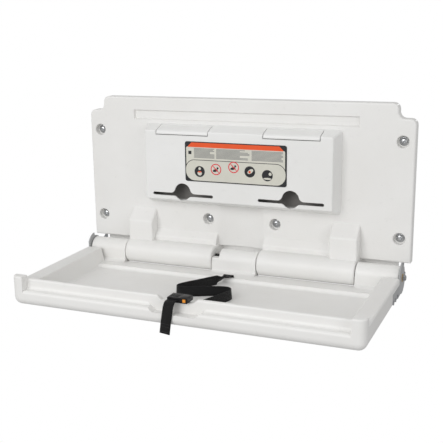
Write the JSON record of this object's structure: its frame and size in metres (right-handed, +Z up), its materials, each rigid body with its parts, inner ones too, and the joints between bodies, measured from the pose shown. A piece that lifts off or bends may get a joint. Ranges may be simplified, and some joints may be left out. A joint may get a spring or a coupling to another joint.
{
  "type": "changing table",
  "caption": "Wall-mounted changing table: moulded panel with liner dispenser and a bed that folds down on a full-width rod hinge, with a webbing strap and buckle.",
  "frame": {"origin": "centre of the four outer wall fixings, on the wall plane", "axes": "+Y into the wall, -Y out to the user, +Z up, +X to the user's right; shown with the bed open"},
  "size_m": [0.89, 0.46, 0.483],
  "materials": {
    "moulded_white": "fine-textured moulded polyethylene, warm white",
    "dispenser_white": "smooth moulded plastic, white",
    "zinc_steel": "zinc-plated steel",
    "brass": "yellow passivated",
    "black_rubber": "matt rubber",
    "black_plastic": "satin black",
    "black_webbing": "woven polypropylene webbing",
    "orange_plastic": "glossy",
    "printed_label": "printed polyester, dark border, orange band, plain symbols"
  },
  "bodies": {
    "station": {"wall_panel": "moulded_white", "fixing_washers": "zinc_steel", "hinge_bracket_left": "zinc_steel", "hinge_bracket_right": "zinc_steel", "hinge_rod": "zinc_steel", "rod_washers": "zinc_steel", "rod_nuts": "brass", "stop_pins": "zinc_steel", "stop_sleeves": "black_rubber", "damper_core": "black_plastic", "liner_box": "dispenser_white", "lid_pins": "zinc_steel", "box_screws": "zinc_steel", "label_plate": "printed_label"},
    "bed": {"changing_bed": "moulded_white", "bed_underside": "moulded_white", "cover_screws": "zinc_steel", "rim_tubes": "zinc_steel", "front_tube": "zinc_steel", "side_arm_left": "zinc_steel", "side_arm_right": "zinc_steel", "arm_screws": "zinc_steel", "hinge_bushes": "black_plastic", "damper_body": "black_plastic", "strap_anchor": "zinc_steel", "strap_root": "black_webbing", "strap_loops": "black_webbing", "strap_rise": "black_webbing", "strap_tail": "black_webbing", "buckle_body": "black_plastic"},
    "lid_left": {"liner_lid_left": "dispenser_white"},
    "lid_right": {"liner_lid_right": "dispenser_white"},
    "release": {"buckle_button": "orange_plastic"}
  },
  "joints": [
    {"name": "bed_fold", "type": "hinge", "parent": "station", "child": "bed", "pos_m": [0, -0.058, -0.208], "axis": [-1, 0, 0], "range_deg": [0, 90]},
    {"name": "lid_left_hinge", "type": "hinge", "parent": "station", "child": "lid_left", "pos_m": [-0.149, -0.037, 0.138], "axis": [-1, 0, 0], "range_deg": [0, 108]},
    {"name": "lid_right_hinge", "type": "hinge", "parent": "station", "child": "lid_right", "pos_m": [0.149, -0.037, 0.138], "axis": [-1, 0, 0], "range_deg": [0, 108]},
    {"name": "buckle_press", "type": "slide", "parent": "bed", "child": "release", "axis": [0, 1, 0], "range_m": [0, 0.0015], "stiffness_N_per_m": 400}
  ]
}
